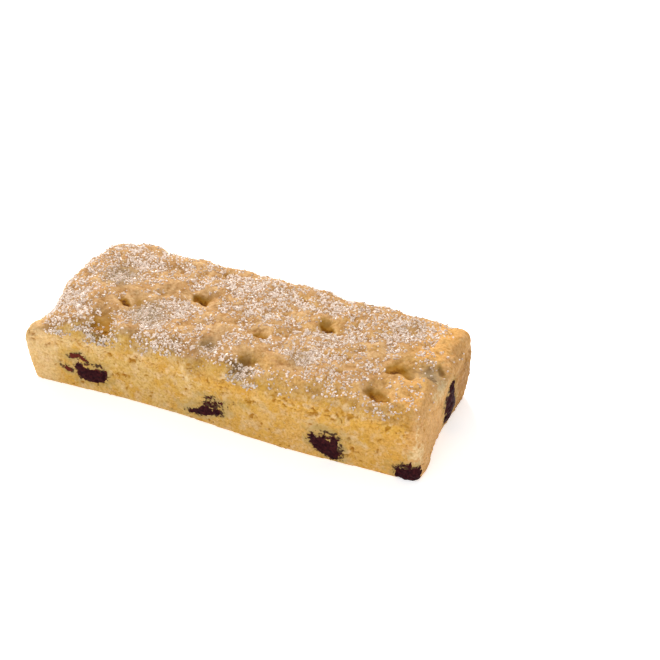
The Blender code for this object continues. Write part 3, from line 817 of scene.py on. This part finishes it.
def dough_material():
    paint = Painter("baked_dough")
    colour = paint.mix(paint.attribute("baked"), side_colour(paint), crust_colour(paint))
    colour = paint.over(colour, paint.attribute("end_face"), (0.0, 1.0, 0.85), end_colour(paint))
    pale = broken_up(paint, "pale_crumb", 1100.0, 4.0, 0.35, 0.65, -0.5, 0.3)
    colour = paint.over(colour, pale, (0.1, 0.6, 0.8), PALE_CRUMBS)
    colour = paint.over(colour, paint.grain(1900.0), (0.44, 0.64, 0.7), GRAIN_SHADE, "MULTIPLY")
    # Browning, with painted shade deepest in the pricks and hollows.
    uneven = paint.mapped(paint.grain(1100.0, 4.0), 0.3, 0.7, 0.6, 1.4)
    brown_and_shade_level = paint.joined("MULTIPLY", paint.attribute("brown_and_shade"), uneven)
    for start, end, most, tone in BROWNED_AND_SHADED:
        colour = paint.over(colour, brown_and_shade_level, (start, end, most), tone)
    # Painted shade in the small hollows.
    hollow = paint.attribute("hollow_near")
    colour = paint.over(colour, hollow, (0.02, 0.16, 0.8), NEAR_HOLLOW_PAINTED_SHADE, "MULTIPLY")
    # Grey over chips just under the crust, and painted shade on other patches.
    colour = paint.over(colour, paint.attribute("grey_and_shade"), (0.1, 1.0, 0.85), GREY_AND_PAINTED_SHADE)
    # Painted shade between the grains at the bottoms of some hollows.
    gaps = broken_up(paint, "speckle_shade", 1500.0, 3.0, 0.35, 0.65, -0.6, 0.3)
    colour = paint.over(colour, gaps, (0.45, 0.9, 0.75), PAINTED_GAP_SHADE)
    stain = broken_up(paint, "chip_reach", 420.0, 4.0, 0.3, 0.7, -1.0, 1.0)
    colour = paint.over(colour, stain, (-1.5, 0.2, 0.75), CHIP_STAIN)
    smudge = broken_up(paint, "chip_reach", 1300.0, 4.0, 0.3, 0.7, -0.9, 0.7)
    colour = paint.over(colour, smudge, (-0.35, 0.1, 0.92), CHIP_SMUDGE)
    paint.set(Roughness=0.65, Specular_IOR_Level=0.06, Subsurface_Weight=0.12,
              Subsurface_Radius=(1.0, 0.6, 0.3), Subsurface_Scale=1.2 * MM)
    return paint.finish(colour, paint.grain(1900.0, 5.0), 0.6, 0.2)


def chocolate_material():
    paint = Painter("chocolate")
    grain = paint.grain(1700.0, 3.0, 0.5)
    colour = paint.graded(grain, 0.38, 0.68, CHOCOLATE_DARK, CHOCOLATE_LIGHT)
    colour = paint.mix(paint.attribute("thin"), colour, CHOCOLATE_THIN)
    paint.set(Roughness=0.5, Specular_IOR_Level=0.02)
    return paint.finish(colour, grain, 0.7, 0.2)


def sugar_material():
    paint = Painter("sugar")
    colour = paint.graded(paint.attribute("tone"), 0.0, 1.0, SUGAR_DULL, SUGAR_BRIGHT)
    paint.set(Roughness=0.35, Specular_IOR_Level=0.3, IOR=1.5, Subsurface_Weight=0.8,
              Subsurface_Radius=(1.0, 0.9, 0.85), Subsurface_Scale=0.4 * MM)
    return paint.finish(colour)


# ---- chips ----------------------------------------------------------------------

# How far in front of a chip's middle the dough may still belong to its face, how far
# round the chip's form the dough is looked at, and what counts as nowhere near it.
CHIP_REACH_OUT = 6.0
CHIP_MARGIN = 1.0
CHIP_NOWHERE = -3.0

# How squarely the dough has to face a chip's way to be stained, or to carry its face.
STAIN_FACING = 0.3
CHIP_FACING = 0.35

# How proud a chip's middle stands, and how far its edge dives under the dough.
CHIP_PROUD = 0.07
CHIP_DIVE = -0.7

# How thick a chip is behind its face at its edge, and how much thicker in its middle.
CHIP_EDGE_THICKNESS = 0.9
CHIP_THICKNESS = 3.0
CHIP_LEAST_Z = 0.3


def ellipse_depth(along, up, form):
    """How far inside an ellipse each point lies, roughly, and below 0 outside it."""
    middle_along, middle_up, half_length, half_height, turn = form
    a = along - middle_along
    b = up - middle_up
    c = math.cos(math.radians(turn))
    s = math.sin(math.radians(turn))
    reach = np.sqrt(((a * c + b * s) / half_length) ** 2 + ((b * c - a * s) / half_height) ** 2)
    return (1.0 - reach) * min(half_length, half_height)


def chip_frame(node):
    """A chip's middle, and the directions along and out of the face it shows on."""
    low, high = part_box(node)
    middle = (np.array(low) + np.array(high)) / 2 / MM
    outward = np.array(OUTWARD[node.split("_")[1]], float)
    along = np.array((1.0, 0, 0)) if outward[1] else np.array((0, 1.0, 0))
    return middle, along, outward

def chip_form(node):
    return {**PLAIN_CHIP, **CHIP_FORMS[node]}


def chip_depth(node, places):
    """How far inside a chip's visible form each place lies, seen along its face.

    The first is with its streaks, the second for its smears, the third for its body.
    """
    middle, along, _ = chip_frame(node)
    form = chip_form(node)
    offset = places - middle
    u = offset @ along
    w = offset[:, 2]
    body = np.max([ellipse_depth(u, w, lobe) for lobe in form["lobes"]], axis=0)
    for bite in form["bites"]:
        body = np.minimum(body, -ellipse_depth(u, w, bite))
    streaks = [ellipse_depth(u, w, streak) for streak in form["streaks"]]
    smear = np.max([ellipse_depth(u, w, smear) for smear in form["smears"]], axis=0)
    return np.max([body] + streaks, axis=0), smear, body


def faces_chip(node, places, normals, least_facing):
    """Which places of the dough lie near enough to a chip, and face its way."""
    middle, _, outward = chip_frame(node)
    proudness = (places - middle) @ outward
    near = (proudness > -chip_form(node)["reach_in"]) & (proudness < CHIP_REACH_OUT)
    return near & (normals @ outward > least_facing)


def chips_reach(places, normals):
    """How far inside the visible form of the nearest chip each place of the dough lies."""
    nearest = np.full(len(places), CHIP_NOWHERE)
    for node in CHIP_NODES:
        near = faces_chip(node, places, normals, STAIN_FACING)
        reach = np.max(chip_depth(node, places), axis=0)
        nearest[near] = np.maximum(nearest, reach)[near]
    return nearest


def dough_patch(node, mesh):
    """The dough's faces under a chip, cut finer: places, normals, faces and rim."""
    build = bmesh.new()
    build.from_mesh(mesh)
    build.normal_update()
    centres = np.array([face.calc_center_median() for face in build.faces]) / MM
    normals = np.array([face.normal for face in build.faces])
    wanted = faces_chip(node, centres, normals, CHIP_FACING)
    wanted &= np.max(chip_depth(node, centres), axis=0) > -CHIP_MARGIN
    build.faces.ensure_lookup_table()
    spare = [build.faces[i] for i in np.nonzero(~wanted)[0]]
    bmesh.ops.delete(build, geom=spare, context="FACES")
    bmesh.ops.subdivide_edges(build, edges=build.edges[:], cuts=2, use_grid_fill=True)
    build.normal_update()
    build.verts.index_update()
    rim = [[loop.vert.index, loop.link_loop_next.vert.index]
           for edge in build.edges if edge.is_boundary for loop in edge.link_loops]
    places, normals, faces = contents(build)
    return places / MM, normals, faces, rim


def chip_piece(node, dough_object):
    """A chip as a closed lump, whose face follows the dough with a ragged edge."""
    middle, along, outward = chip_frame(node)
    form = chip_form(node)
    places, normals, faces, rim = dough_patch(node, dough_object.data)
    depth, smear, body = chip_depth(node, places)
    upper = ramp((places - middle)[:, 2], -1.0, 1.5)
    depth = depth + (0.4 + 0.6 * upper) * layered(places, RAGGED_EDGE)
    depth = depth + form["wander"] * lookup(places, 2.2, 38)
    stretched = np.stack([places @ along * 0.6, places @ outward, places[:, 2] * 1.5], axis=1)
    crumbs = 0.95 * lookup(stretched, 0.75, 34) + 0.3 * lookup(places, 0.55, 32)
    depth = np.maximum(depth, np.minimum(smear, 0.25) - 0.6 + crumbs)
    proud = np.clip(depth * 1.1, CHIP_DIVE, CHIP_PROUD) + 0.04 * lookup(places, 0.8, 33)
    proud += form["bulge"] * ramp(depth, 0.0, 1.6)
    face = np.clip(places + normals * proud[:, None], LOW, HIGH)
    rounded = np.sqrt(np.clip(depth / max(depth.max(), 0.1), 0.0, 1.0))
    back = places - outward * (CHIP_EDGE_THICKNESS + CHIP_THICKNESS * rounded)[:, None]
    back[:, 2] = np.maximum(back[:, 2], CHIP_LEAST_Z)
    count = len(places)
    closed = faces + [[i + count for i in reversed(face_corners)] for face_corners in faces]
    closed += [[b, a, a + count, b + count] for a, b in rim]
    piece = mesh_object(node + "_dressed", np.concatenate([face, back]), closed)
    thin = form["fading"] * (1.0 - ramp(body, -0.2, 0.25))
    set_attribute(piece.data, "thin", np.concatenate([thin, thin]))
    return piece


# ---- sugar ----------------------------------------------------------------------

# How far a grain's middle lies above the dough, as a share of its size.
GRAIN_RISE = 0.14

# How much duller the sugar is on the grey patches: over chips just under the crust, and where shade is
# painted.
SUGAR_DULLNESS = 0.75


def crystal_template():
    """A stubby six-sided sugar crystal with slanted ends, one unit long."""
    ring = [(math.cos(math.radians(60 * i + 10)) * (0.42, 0.52, 0.46)[i % 3],
             math.sin(math.radians(60 * i + 10)) * 0.44) for i in range(6)]
    places = [(x, y, -0.5 + 0.12 * x) for x, y in ring]
    places += [(x * 0.86, y * 0.86, 0.5 + 0.2 * y) for x, y in ring]
    faces = [(0, 5, 4, 3), (0, 3, 2, 1), (6, 7, 8, 9), (6, 9, 10, 11)]
    faces += [(i, (i + 1) % 6, (i + 1) % 6 + 6, i + 6) for i in range(6)]
    return np.array(places), faces


def chunk_template():
    """A broken corner of a crystal: a skewed block."""
    places = [(x + 0.15 * z, y - 0.1 * x, z * (1 + 0.2 * y))
              for z in (-0.4, 0.4) for x, y in ((-0.5, -0.4), (0.5, -0.45), (0.4, 0.45), (-0.42, 0.5))]
    faces = [(0, 3, 2, 1), (4, 5, 6, 7), (0, 1, 5, 4), (1, 2, 6, 5), (2, 3, 7, 6), (3, 0, 4, 7)]
    return np.array(places), faces

def dust_template():
    """A grain of sugar dust: an uneven double pyramid, one unit long."""
    places = [(0.5, 0, 0), (0, 0.4, 0.1), (-0.45, 0.1, 0), (0, -0.5, 0), (0.1, 0, 0.45), (0, 0.1, -0.4)]
    faces = [(i, (i + 1) % 4, 4) for i in range(4)] + [((i + 1) % 4, i, 5) for i in range(4)]
    return np.array(places), faces


def random_turns(count, rng):
    """Turning matrices, evenly spread over every way to lie."""
    q = rng.normal(size=(count, 4))
    q /= np.linalg.norm(q, axis=1)[:, None]
    w, x, y, z = q.T
    return np.stack([
        np.stack([1 - 2 * (y * y + z * z), 2 * (x * y - w * z), 2 * (x * z + w * y)], 1),
        np.stack([2 * (x * y + w * z), 1 - 2 * (x * x + z * z), 2 * (y * z - w * x)], 1),
        np.stack([2 * (x * z - w * y), 2 * (y * z + w * x), 1 - 2 * (x * x + y * y)], 1),
    ], 1)

def random_spots(mesh, density, count, rng):
    """Random triangles of a mesh, and places and face normals on them."""
    mesh.calc_loop_triangles()
    corners = np.empty(len(mesh.loop_triangles) * 3, np.int32)
    mesh.loop_triangles.foreach_get("vertices", corners)
    corners = corners.reshape(-1, 3)
    places = places_of(mesh)
    a, b, c = (places[corners[:, i]] for i in range(3))
    cross = np.cross(b - a, c - a)
    area = np.linalg.norm(cross, axis=1) / 2
    chance = area * density[corners].mean(1)
    chosen = rng.choice(len(corners), size=count, p=chance / chance.sum())
    u = rng.random(count)
    v = rng.random(count)
    over = u + v > 1
    u[over] = 1 - u[over]
    v[over] = 1 - v[over]
    spots = a[chosen] + (b - a)[chosen] * u[:, None] + (c - a)[chosen] * v[:, None]
    return corners[chosen], spots, cross[chosen] / (2 * area[chosen])[:, None]


def sprinkle(name, dough_object, density, dullness, count, template, size_range, seed):
    """Scatters grains over the dough as one joined mesh."""
    rng = np.random.default_rng(seed)
    corners, spots, up = random_spots(dough_object.data, density, count, rng)
    size = rng.uniform(*size_range, size=count)
    shape, faces = template
    turned = np.einsum("nij,kj->nki", random_turns(count, rng), shape)
    middles = spots + up * (size * GRAIN_RISE)[:, None]
    grains = turned * size[:, None, None] + middles[:, None, :]
    offsets = np.arange(count) * len(shape)
    joined = [[i + offset for i in face] for offset in offsets for face in faces]
    piece = mesh_object(name, grains.reshape(-1, 3), joined)
    piece.data.shade_flat()
    tone = rng.random(count) * (1.0 - SUGAR_DULLNESS * dullness[corners].mean(1))
    set_attribute(piece.data, "tone", np.repeat(tone, len(shape)))
    return piece


def sugar_density(dough):
    """How thick the sugar lies at each vertex of the dough."""
    places, normals = dough["places"], dough["normals"]
    level = ramp(normals[:, 2], 0.3, 0.75)
    lower = 1.4 * (1.0 - ramp(places[:, 0], -16.0, 0.0))
    level *= ramp(places[:, 2] + 1.2 * lookup(places, 3.5, 43) + lower, *SUGARED_Z)
    level *= 1.0 - 0.5 * ramp(-normals[:, 1] - 0.1 * lower, 0.3, 0.65)
    level *= 1.0 - 0.93 * ramp(dough["brown_and_shade"], 0.15, 0.45)
    level *= 0.35 + 0.65 * ramp(dough["middling"], -0.16, 0.10)
    amount = 0.55 + layered(places, SUGAR_DRIFT)
    amount *= 1.0 - 0.3 * ramp(places[:, 1], 11.0, 15.0)
    for x, y, reach_x, reach_y, change in DRIFTS:
        amount += 0.85 * change * bell(squares(places, X_AND_Y, (x, y), (reach_x, reach_y)))
    density = level * np.clip(amount, 0.02, 2.0) ** 1.25
    density *= 1.0 + 0.5 * ramp(places[:, 1], 4.0, 12.0) * ramp(-places[:, 0], 20.0, 30.0)
    forward = ramp(-normals[:, 1], 0.2, 0.5) * (0.6 + 1.2 * lookup(places, 1.6, 45))
    caught = np.clip(forward * (places[:, 1] < LEDGES_MOST_Y), 0.0, 1.0)
    for x, z, reach_x, reach_z in LEDGES:
        away = squares(places, X_AND_Z, (x, z), (reach_x, reach_z))
        density = np.maximum(density, LEDGE_DENSITY * bell(away**2) * caught)
    return density


# ---- the stage ------------------------------------------------------------------

CAMERA_TARGET = (8.142, 25.170, 0.0)
CAMERA_DISTANCE = 463.0
CAMERA_AZIMUTH = 23.709
CAMERA_ELEVATION = 37.2265
CAMERA_LENS = 109.09
SENSOR_WIDTH = 36.0

# Lights: azimuth, elevation, distance and size in metres, power and colour.
LIGHTS = {
    "key": (218.0, 44.0, 0.6, 0.24, 4.6, (1.0, 0.99, 0.97)),
    "fill": (10.0, 55.0, 0.9, 0.7, 2.4, (1.0, 1.0, 1.0)),
}
SKY_STRENGTH = 0.5

# The pale floor, its half width in millimetres, and its own light, which makes it white.
FLOOR_HALF_WIDTH = 4000
FLOOR_DROP = 0.02
FLOOR_COLOUR = (0.93, 0.93, 0.93, 1)
FLOOR_ROUGHNESS = 0.9
FLOOR_GLOW = 0.45
WHITE = (1.0, 1.0, 1.0, 1)


def direction(azimuth, elevation):
    """From the middle outwards: azimuth 0 is the front, and 90 the right."""
    a = math.radians(azimuth)
    e = math.radians(elevation)
    return Vector((math.sin(a) * math.cos(e), -math.cos(a) * math.cos(e), math.sin(e)))


def add_camera():
    data = bpy.data.cameras.new("camera")
    data.lens = CAMERA_LENS
    data.sensor_width = SENSOR_WIDTH
    data.clip_start = 0.01
    data.clip_end = 50.0
    camera = bpy.data.objects.new("camera", data)
    bpy.context.scene.collection.objects.link(camera)
    back = direction(CAMERA_AZIMUTH, CAMERA_ELEVATION)
    camera.location = (Vector(CAMERA_TARGET) + back * CAMERA_DISTANCE) * MM
    camera.rotation_mode = "QUATERNION"
    camera.rotation_quaternion = back.to_track_quat("Z", "Y")
    bpy.context.scene.camera = camera


def add_light(name, azimuth, elevation, distance, size, power, colour):
    data = bpy.data.lights.new(name, "AREA")
    data.shape = "DISK"
    data.size = size
    data.energy = power
    data.color = colour
    light = bpy.data.objects.new(name, data)
    bpy.context.scene.collection.objects.link(light)
    away = direction(azimuth, elevation)
    light.location = away * distance
    light.rotation_mode = "QUATERNION"
    light.rotation_quaternion = away.to_track_quat("Z", "Y")

def add_stage():
    """The sky, the lights and the floor, none of which belong to the part."""
    world = bpy.data.worlds.new("studio")
    world.use_nodes = True
    sky = world.node_tree.nodes["Background"]
    sky.inputs["Color"].default_value = WHITE
    sky.inputs["Strength"].default_value = SKY_STRENGTH
    bpy.context.scene.world = world
    for name, light in LIGHTS.items():
        add_light(name, *light)
    signs = ((-1, -1), (1, -1), (1, 1), (-1, 1))
    corners = [(x * FLOOR_HALF_WIDTH, y * FLOOR_HALF_WIDTH, 0) for x, y in signs]
    floor = mesh_object("floor", corners, [(0, 1, 2, 3)])
    paint = Painter("pale_floor")
    paint.set(Base_Color=FLOOR_COLOUR, Roughness=FLOOR_ROUGHNESS, Emission_Color=WHITE,
              Emission_Strength=FLOOR_GLOW)
    floor.data.materials.append(paint.material)
    floor.location.z = -FLOOR_DROP * MM
    bpy.context.scene.view_settings.view_transform = "Standard"


# ---- putting it together --------------------------------------------------------

dough_data = dough_mesh()
dough_piece = bpy.data.objects.new("shortbread_dough_dressed", dough_data)
bpy.context.scene.collection.objects.link(dough_piece)
dough_data.shade_smooth()
dough = shape_dough(dough_data)
set_attribute(dough_data, "chip_reach", chips_reach(dough["places"], dough["normals"]))
density = sugar_density(dough)
set_attribute(dough_data, "sugar_haze", density)
dough_data.materials.append(dough_material())
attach(dough_piece, "root")
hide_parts("shortbread_dough")

chocolate = chocolate_material()
for chip in CHIP_NODES:
    piece = chip_piece(chip, dough_piece)
    piece.data.materials.append(chocolate)
    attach(piece, "root")
    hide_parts(chip)

sugar = sugar_material()
for name, count, template, sizes, gathering, seed in (
    ("sugar_crystals", 3400, crystal_template(), (0.38, 0.60), 1.0, 51),
    ("sugar_chunks", 6000, chunk_template(), (0.20, 0.36), 1.2, 52),
    ("sugar_dust", 9000, dust_template(), (0.09, 0.18), 1.5, 53),
):
    piece = sprinkle(name, dough_piece, density**gathering, dough["grey_and_shade"], count, template, sizes, seed)
    piece.visible_shadow = False
    piece.data.materials.append(sugar)
    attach(piece, "root")

add_stage()
add_camera()
